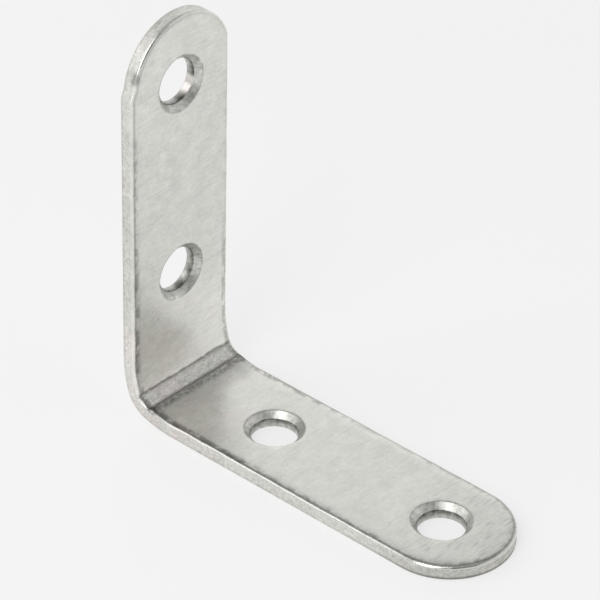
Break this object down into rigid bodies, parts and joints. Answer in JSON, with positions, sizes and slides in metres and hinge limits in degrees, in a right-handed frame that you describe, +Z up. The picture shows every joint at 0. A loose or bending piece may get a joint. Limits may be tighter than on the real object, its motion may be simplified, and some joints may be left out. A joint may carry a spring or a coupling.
{
  "type": "corner brace",
  "caption": "L-shaped corner brace folded from a flat stainless steel strip, with rounded leg ends and bevelled screw holes for joining two parts at a right angle.",
  "frame": {"origin": "under the middle of the bounding box, at the level of the base leg's outer face", "axes": "+X along the base leg to its free end, +Z up the upright leg, +Y across the strip's width"},
  "size_m": [0.05, 0.0154, 0.05],
  "materials": {
    "stainless_steel": "satin, with a fine grain across the strip, bright rolled edges, a granular pressed flat inside the bend and light handling scratches"
  },
  "bodies": {
    "root": {"corner_brace": "stainless_steel"}
  },
  "joints": []
}
